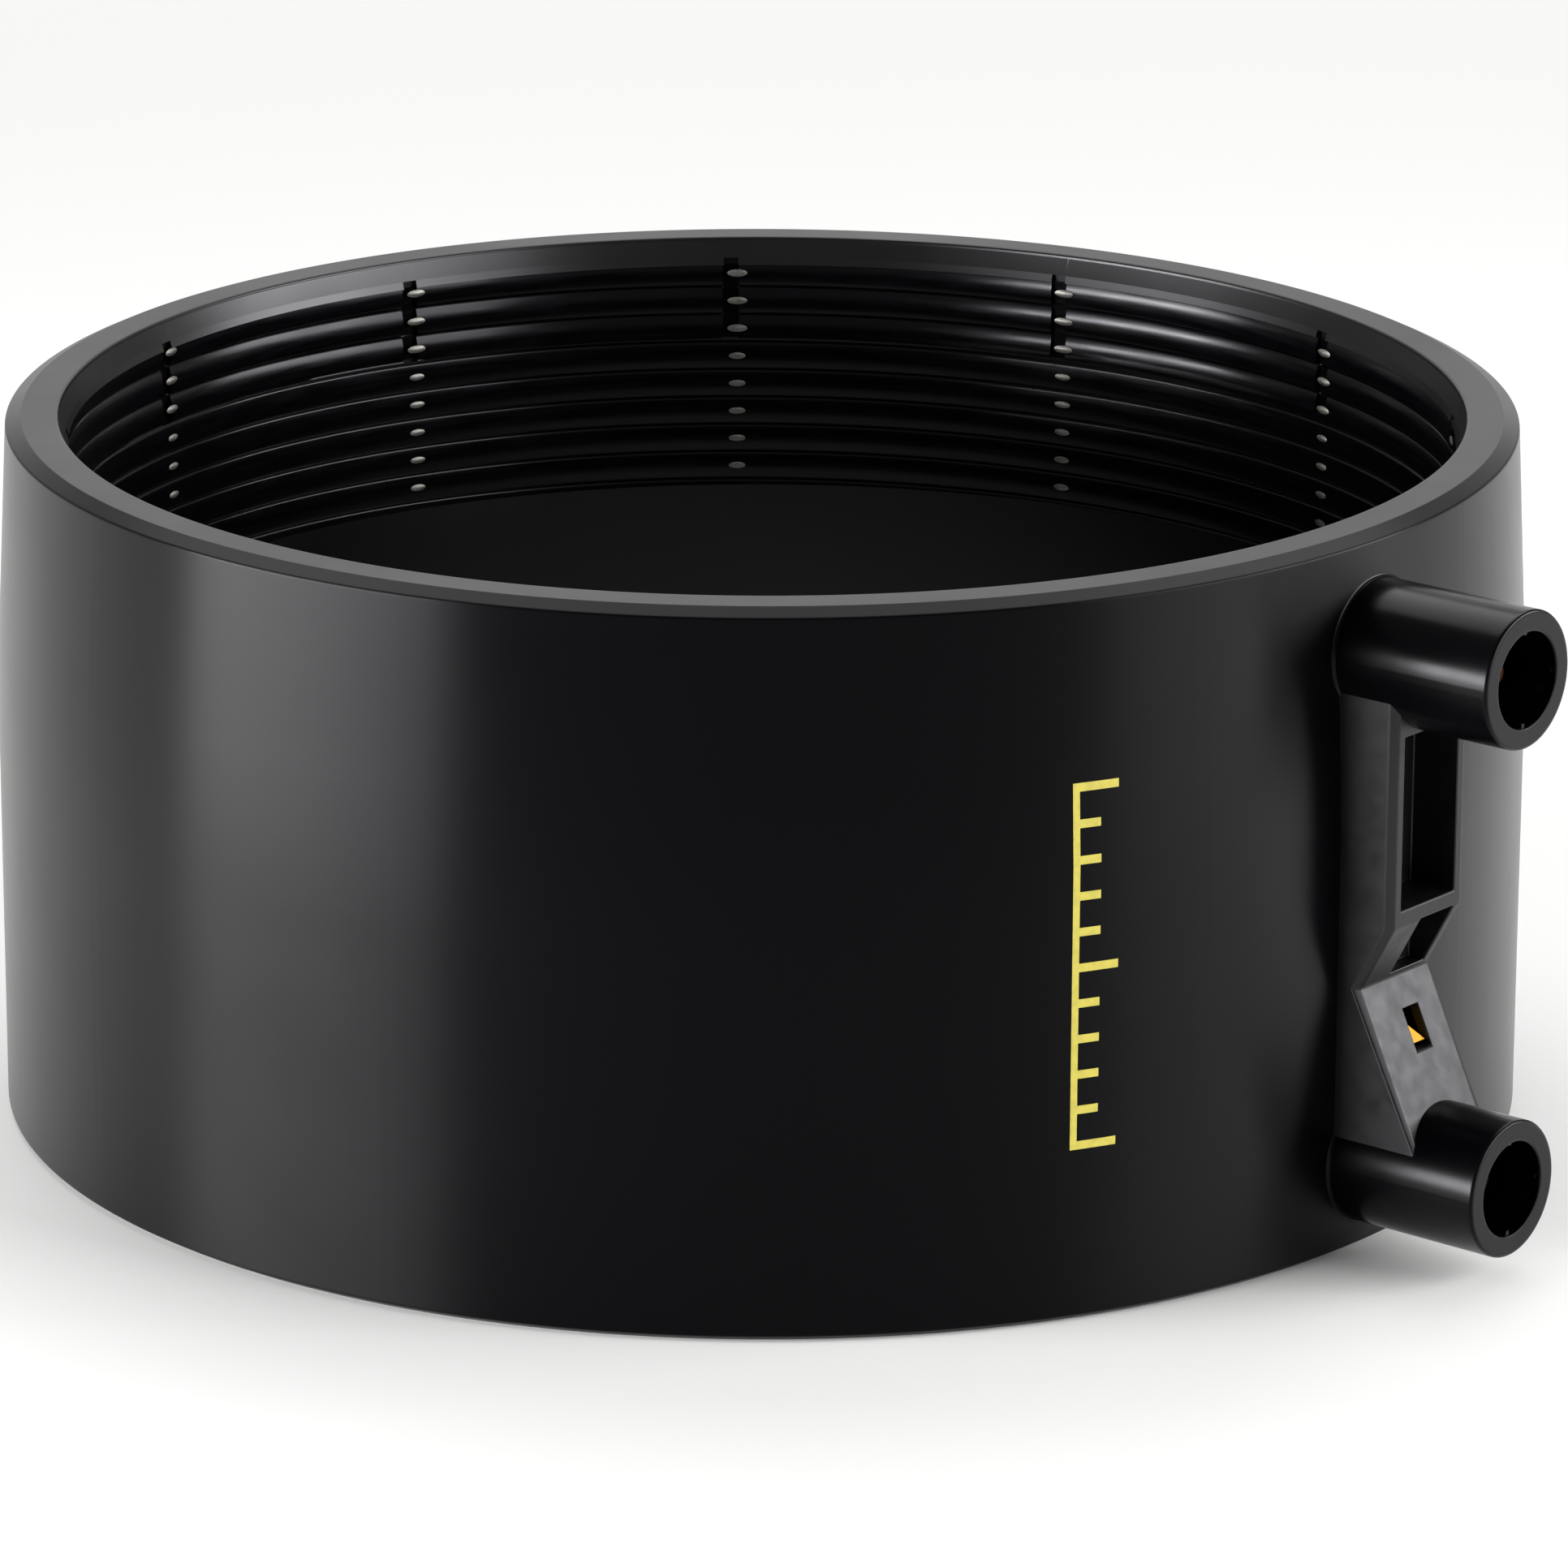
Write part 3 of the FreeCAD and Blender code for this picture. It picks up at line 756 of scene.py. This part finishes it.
def sleeve_finish(colours):
    """Moulded black polyethylene of the sleeve. The mould was turned, so its lines run round the
    bore and draw each reflection out along the height."""
    finish, tree, shader = polyethylene_finish(
        "moulded_black_polyethylene", colours, gloss=0.13, roughness=(0.30, 0.35),
        patch_size=38 * MM, ripple_size=22 * MM, grain_depth=0.002 * MM)
    along = add_node(tree, "ShaderNodeTangent", direction_type="RADIAL", axis="Z")
    tree.links.new(along.outputs["Tangent"], shader.inputs["Tangent"])
    shader.inputs["Anisotropic"].default_value = 0.85
    shader.inputs["Anisotropic Rotation"].default_value = 0.25
    return finish


def rim_finish(colours):
    """Moulded black polyethylene of the rims and the bore, from the polished core: the glossiest
    of the moulding, with long ripples."""
    return polyethylene_finish(
        "core_moulded_polyethylene", colours, gloss=0.8, roughness=(0.28, 0.36),
        patch_size=30 * MM, ripple_size=26 * MM, grain_depth=0.002 * MM)[0]


def socket_finish(colours):
    """Moulded black polyethylene of the sockets, from a turned mould insert: smoother than the
    sleeve, with closer ripples and more grain."""
    return polyethylene_finish(
        "moulded_polyethylene_insert", colours, gloss=0.16, roughness=(0.18, 0.29),
        patch_size=16 * MM, ripple_size=9 * MM, grain_depth=0.006 * MM)[0]


def bridge_finish(colours):
    """Moulded black polyethylene of the bridge, from a spark-eroded mould insert: satin and
    mottled."""
    return polyethylene_finish(
        "eroded_polyethylene_insert", colours, gloss=0.75, roughness=(0.35, 0.47),
        patch_size=2.5 * MM, ripple_size=7 * MM, grain_depth=0.015 * MM)[0]


def coating_finish(colours):
    """Extruded polyethylene coating of the heating wire: black and smooth, with fine lines along
    the turns."""
    finish, tree, shader, place = new_finish("coated_heating_wire", {
        "IOR": POLYETHYLENE_IOR, "Specular Tint": (0.32, 0.32, 0.34, 1)})
    lines = clouds(tree, place, size=9 * MM, detail=3.0, stretch=(1, 1, 14))
    vary_colour(tree, shader, lines, colours.coating, toned(colours.coating, 1.6))
    vary_roughness(tree, shader, lines, 0.17, 0.26)
    bump = add_node(tree, "ShaderNodeBump", {"Strength": 0.4, "Distance": 0.01 * MM},
                    {"Height": lines})
    tree.links.new(bump.outputs["Normal"], shader.inputs["Normal"])
    return finish


def wire_finish(colours):
    """Drawn copper-nickel resistance wire, bare where the core's ribs held it: pale satin metal."""
    finish, tree, shader, place = new_finish("drawn_resistance_wire", {"Metallic": 1.0})
    drawn = clouds(tree, place, size=0.8 * MM, stretch=(1, 1, 4))
    vary_colour(tree, shader, drawn, toned(colours.wire, 0.6), colours.wire)
    vary_roughness(tree, shader, drawn, 0.42, 0.58)
    return finish


def brass_finish(colours):
    """Turned brass of the contact pins: warm metal with tarnished patches and tool rings, its
    red-brown darkened further as painted shade for the pins deep in their sockets.
    """
    finish, tree, shader, place = new_finish("turned_brass", {"Metallic": 1.0})
    tarnish = clouds(tree, place, size=3 * MM, detail=3.0)
    vary_colour(tree, shader, tarnish, toned(colours.brass, 0.6), colours.brass)
    rings = clouds(tree, place, size=5 * MM, stretch=(30, 0.2, 0.2))
    vary_roughness(tree, shader, rings, 0.22, 0.4)
    bump = add_node(tree, "ShaderNodeBump", {"Strength": 0.3, "Distance": 0.01 * MM},
                    {"Height": rings})
    tree.links.new(bump.outputs["Normal"], shader.inputs["Normal"])
    return finish


def indicator_finish(colours):
    """Moulded yellow polyethylene of the indicator: saturated, waxy, with slight flow clouding."""
    finish, tree, shader, place = new_finish("moulded_yellow_polyethylene", {
        "IOR": POLYETHYLENE_IOR, "Specular IOR Level": 0.2})
    cloud = clouds(tree, place, size=1.6 * MM)
    vary_colour(tree, shader, cloud, toned(colours.indicator, 0.8), colours.indicator)
    vary_roughness(tree, shader, cloud, 0.45, 0.6)
    return finish


def ink_finish(colours):
    """Pad printed ink on polyethylene: opaque yellow, satin, a little thin in places."""
    finish, tree, shader, place = new_finish("pad_printed_ink", {"IOR": INK_IOR})
    thin = clouds(tree, place, size=1.1 * MM, detail=3.0)
    vary_colour(tree, shader, thin, toned(colours.ink, 0.86), colours.ink, band=(0.35, 0.6))
    vary_roughness(tree, shader, thin, 0.5, 0.38)
    return finish


def floor_finish(colours):
    """Matt painted studio floor: pale, with the faintest cloudiness.

    Away from the object and its shadow it goes over into an even pale backdrop, for the camera and
    for what mirrors it.
    """
    finish, tree, shader, place = new_finish("matt_studio_floor", {
        "Roughness": 0.9, "Specular IOR Level": 0.1})
    cloud = clouds(tree, place, size=400 * MM)
    vary_colour(tree, shader, cloud, toned(colours.floor, 0.985), colours.floor)
    away = add_node(tree, "ShaderNodeVectorMath", links={"Vector": place}, operation="LENGTH")
    far = add_node(tree, "ShaderNodeMapRange",
                   {"From Min": BACKDROP_REACH[0], "From Max": BACKDROP_REACH[1],
                    "To Min": 0, "To Max": 1}, {"Value": away.outputs["Value"]})
    rays = add_node(tree, "ShaderNodeLightPath").outputs
    mirrored = add_node(tree, "ShaderNodeMath", operation="MAXIMUM",
                        links={0: rays["Is Glossy Ray"], 1: rays["Is Transmission Ray"]})
    looked_at = add_node(tree, "ShaderNodeMath", operation="MAXIMUM",
                         links={0: rays["Is Camera Ray"], 1: mirrored.outputs[0]})
    share = add_node(tree, "ShaderNodeMath", operation="MULTIPLY",
                     links={0: far.outputs["Result"], 1: looked_at.outputs[0]})
    backdrop = add_node(tree, "ShaderNodeEmission", {"Color": (*colours.floor, 1)})
    whole = add_node(tree, "ShaderNodeMixShader",
                     links={0: share.outputs[0], 1: shader.outputs["BSDF"],
                            2: backdrop.outputs["Emission"]})
    tree.links.new(whole.outputs[0], tree.get_output_node("ALL").inputs["Surface"])
    return finish


# Operators


class COUPLER_OT_sleeve(bpy.types.Operator):
    """Build the sleeve of the black moulding"""

    bl_idname = "coupler.sleeve"
    bl_label = "Sleeve"

    def execute(self, context):
        sizes, colours = context.scene.coupler_sizes, context.scene.coupler_colours
        mesh = surface_mesh("sleeve", sleeve_surface(sizes.edge_radius), True, True)
        sleeve = add_piece("moulded_sleeve", [mesh], sleeve_finish(colours),
                           ["coupler_body"])
        sleeve.data.materials.append(rim_finish(colours))
        # The core and its end plates moulded whatever lies inside the top bevel's inner edge
        faces = sleeve.data.polygons
        centres = np.empty(3 * len(faces))
        faces.foreach_get("center", centres)
        reach = np.hypot(centres[0::3], centres[1::3])
        polished = reach < BAND_RADIUS - TOP_DRAFT - TOP_BEVEL[0]
        faces.foreach_set("material_index", polished.astype(np.int32))
        return {"FINISHED"}


class COUPLER_OT_terminals(bpy.types.Operator):
    """Build the terminal sockets and the bridge between them"""

    bl_idname = "coupler.terminals"
    bl_label = "Terminals"

    def execute(self, context):
        sizes, colours = context.scene.coupler_sizes, context.scene.coupler_colours
        meshes = [surface_mesh("socket", socket_surface(z, sizes.fillet), True, True)
                  for z in SOCKET_Z]
        bridge = bridge_mesh()
        bridge.polygons.foreach_set("material_index", np.ones(len(bridge.polygons), np.int32))
        terminals = add_piece("moulded_terminals", [*meshes, bridge], socket_finish(colours),
                              ["coupler_body"])
        terminals.data.materials.append(bridge_finish(colours))
        return {"FINISHED"}


class COUPLER_OT_winding(bpy.types.Operator):
    """Build the coated wire of both fusion zones and its run across the land"""

    bl_idname = "coupler.winding"
    bl_label = "Winding"

    def execute(self, context):
        sizes, colours = context.scene.coupler_sizes, context.scene.coupler_colours
        meshes = [surface_mesh("turns", strand_surface(base, sizes), True) for base in ZONE_BASES]
        meshes.append(surface_mesh("link", link_surface(), False, True))
        add_piece("wound_wire", meshes, coating_finish(colours),
                  ["heating_winding"], TURN_SHARP_ANGLE)
        return {"FINISHED"}


class COUPLER_OT_wire_marks(bpy.types.Operator):
    """Build the bare spots where the core's ribs held the wire"""

    bl_idname = "coupler.wire_marks"
    bl_label = "Bare Wire Marks"

    def execute(self, context):
        sizes, colours = context.scene.coupler_sizes, context.scene.coupler_colours
        marks = bmesh.new()
        spots = [(base, angle, turn + 0.5) for base in ZONE_BASES for angle in rib_angles()
                 for turn in range(-1, sizes.turns + 1)]
        for base, angle, middle in spots:
            z = base + sizes.turn_pitch * (middle + TURN_PHASE + angle / math.tau)
            if base + MARK_MARGIN < z < base + WINDING_SPAN - MARK_MARGIN:
                grid_bmesh(marks, mark_surface(angle, z, sizes), close_columns=True)
        mesh = bpy.data.meshes.new("marks")
        marks.to_mesh(mesh)
        marks.free()
        outwards(mesh)
        add_piece("bare_wire_marks", [mesh], wire_finish(colours))
        return {"FINISHED"}


class COUPLER_OT_contact_pins(bpy.types.Operator):
    """Give the contact pins their brass"""

    bl_idname = "coupler.contact_pins"
    bl_label = "Contact Pins"

    def execute(self, context):
        finish = brass_finish(context.scene.coupler_colours)
        for name in PIN_NAMES:
            frame["nodes"][name].data.materials.clear()
            frame["nodes"][name].data.materials.append(finish)
        return {"FINISHED"}


class COUPLER_OT_indicator(bpy.types.Operator):
    """Give the fusion indicator its yellow plastic"""

    bl_idname = "coupler.indicator"
    bl_label = "Fusion Indicator"

    def execute(self, context):
        node = frame["nodes"]["fusion_indicator"]
        node.data.materials.clear()
        node.data.materials.append(indicator_finish(context.scene.coupler_colours))
        return {"FINISHED"}


class COUPLER_OT_printed_scale(bpy.types.Operator):
    """Print a plain scale of ticks on the wall beside the sockets"""

    bl_idname = "coupler.printed_scale"
    bl_label = "Printed Scale"

    def execute(self, context):
        sizes, colours = context.scene.coupler_sizes, context.scene.coupler_colours
        ticks = bmesh.new()
        left = SCALE_ANGLE - sizes.ink_width / 2 / BAND_RADIUS
        spine = left + SPINE_WIDTH / BAND_RADIUS
        step = sizes.ink_height / (TICK_COUNT - 1)
        for index in range(TICK_COUNT):
            z = SCALE_BASE_Z + step * index
            width = sizes.ink_width * (1.0 if index % LONG_TICK_STEP == 0 else SHORT_TICK_SHARE)
            grid_bmesh(ticks, patch_surface(spine, left + width / BAND_RADIUS, z - HALF_LINE,
                                            z + HALF_LINE))
        grid_bmesh(ticks, patch_surface(left, spine, SCALE_BASE_Z - HALF_LINE,
                                        SCALE_BASE_Z + sizes.ink_height + HALF_LINE))
        film = linked("film", bpy.data.meshes.new("film"))
        ticks.to_mesh(film.data)
        ticks.free()
        layer = film.modifiers.new("layer", "SOLIDIFY")
        layer.thickness, layer.offset = INK_THICKNESS, -1
        add_piece("printed_scale", [finished_mesh(film)], ink_finish(colours))
        return {"FINISHED"}


class COUPLER_OT_studio(bpy.types.Operator):
    """Set the floor, the lamps and the camera"""

    bl_idname = "coupler.studio"
    bl_label = "Studio"

    def execute(self, context):
        scene = context.scene
        studio = scene.coupler_studio
        corners = np.array([[[x, y, BASE_Z] for x in (-FLOOR_REACH, FLOOR_REACH)]
                            for y in (-FLOOR_REACH, FLOOR_REACH)])
        floor = linked("floor", new_mesh("floor", corners, grid_faces(2, 2, False, False)))
        floor.data.materials.append(floor_finish(scene.coupler_colours))
        for name, place in PANELS.items():
            add_panel(f"{name}_panel", getattr(studio, name), *place)
        scene.world = bpy.data.worlds.new("room")
        scene.world.use_nodes = True
        room = scene.world.node_tree.nodes["Background"].inputs
        room["Color"].default_value = (1, 1, 1, 1)
        room["Strength"].default_value = studio.world
        scene.view_settings.view_transform = "Standard"
        scene.camera = add_camera(studio.lens)
        return {"FINISHED"}


def add_panel(name, watts, turn, elevation, distance, size, spread):
    """Area lamp that faces the coupler. Its turn is counted from the camera's side, in degrees."""
    lamp = bpy.data.lights.new(name, "AREA")
    lamp.shape, lamp.size, lamp.size_y = "RECTANGLE", *size
    lamp.energy, lamp.spread = watts, math.radians(spread)
    azimuth, rise = CAMERA_AZIMUTH + math.radians(turn), math.radians(elevation)
    away = Vector((math.cos(azimuth) * math.cos(rise), math.sin(azimuth) * math.cos(rise),
                   math.sin(rise)))
    piece = linked(name, lamp)
    piece.visible_camera = False
    facing = away.to_track_quat("Z", "Y").to_matrix().to_4x4()
    piece.matrix_world = Matrix.Translation(away * distance) @ facing


def add_camera(lens):
    """Camera at the picture's place: right, up and back are worked out from yaw, pitch and roll."""
    camera = bpy.data.cameras.new("camera")
    camera.sensor_width, camera.lens = SENSOR_WIDTH, lens
    camera.clip_start, camera.clip_end = CAMERA_CLIP
    pitch, yaw, roll = CAMERA_PITCH, CAMERA_YAW, CAMERA_ROLL
    forward = Vector((math.sin(yaw) * math.cos(pitch), math.cos(yaw) * math.cos(pitch),
                      -math.sin(pitch)))
    level = Vector((math.cos(yaw), -math.sin(yaw), 0))
    rise = Vector((math.sin(yaw) * math.sin(pitch), math.cos(yaw) * math.sin(pitch),
                   math.cos(pitch)))
    right = level * math.cos(roll) + rise * math.sin(roll)
    up = rise * math.cos(roll) - level * math.sin(roll)
    matrix = Matrix((right, up, -forward)).transposed().to_4x4()
    matrix.translation = Vector((0, -CAMERA_REACH, CAMERA_HEIGHT))
    piece = linked("camera", camera)
    piece.matrix_world = Matrix.Rotation(CAMERA_AZIMUTH + math.pi / 2, 4, "Z") @ matrix
    return piece


class COUPLER_PT_panel(bpy.types.Panel):
    """Sidebar panel with the coupler's pieces"""

    bl_idname = "COUPLER_PT_panel"
    bl_label = "Coupler"
    bl_space_type = "VIEW_3D"
    bl_region_type = "UI"
    bl_category = "Coupler"

    def draw(self, context):
        scene = context.scene
        for operator in OPERATORS:
            self.layout.operator(operator.bl_idname)
        for group in (scene.coupler_sizes, scene.coupler_colours, scene.coupler_studio):
            for key in group.__annotations__:
                self.layout.prop(group, key)


OPERATORS = (COUPLER_OT_sleeve, COUPLER_OT_terminals, COUPLER_OT_winding, COUPLER_OT_wire_marks,
             COUPLER_OT_contact_pins, COUPLER_OT_indicator, COUPLER_OT_printed_scale,
             COUPLER_OT_studio)
CLASSES = (CouplerSizes, CouplerColours, StudioSettings, *OPERATORS, COUPLER_PT_panel)


def register():
    """Register the classes and hang the settings on the scene."""
    for item in CLASSES:
        bpy.utils.register_class(item)
    bpy.types.Scene.coupler_sizes = PointerProperty(type=CouplerSizes)
    bpy.types.Scene.coupler_colours = PointerProperty(type=CouplerColours)
    bpy.types.Scene.coupler_studio = PointerProperty(type=StudioSettings)


def unregister():
    """Take the settings off the scene and unregister the classes."""
    del bpy.types.Scene.coupler_studio
    del bpy.types.Scene.coupler_colours
    del bpy.types.Scene.coupler_sizes
    for item in reversed(CLASSES):
        bpy.utils.unregister_class(item)


def main():
    """Build every piece in order."""
    register()
    for operator in OPERATORS:
        namespace, action = operator.bl_idname.split(".")
        getattr(getattr(bpy.ops, namespace), action)()


if __name__ == "__main__":
    main()
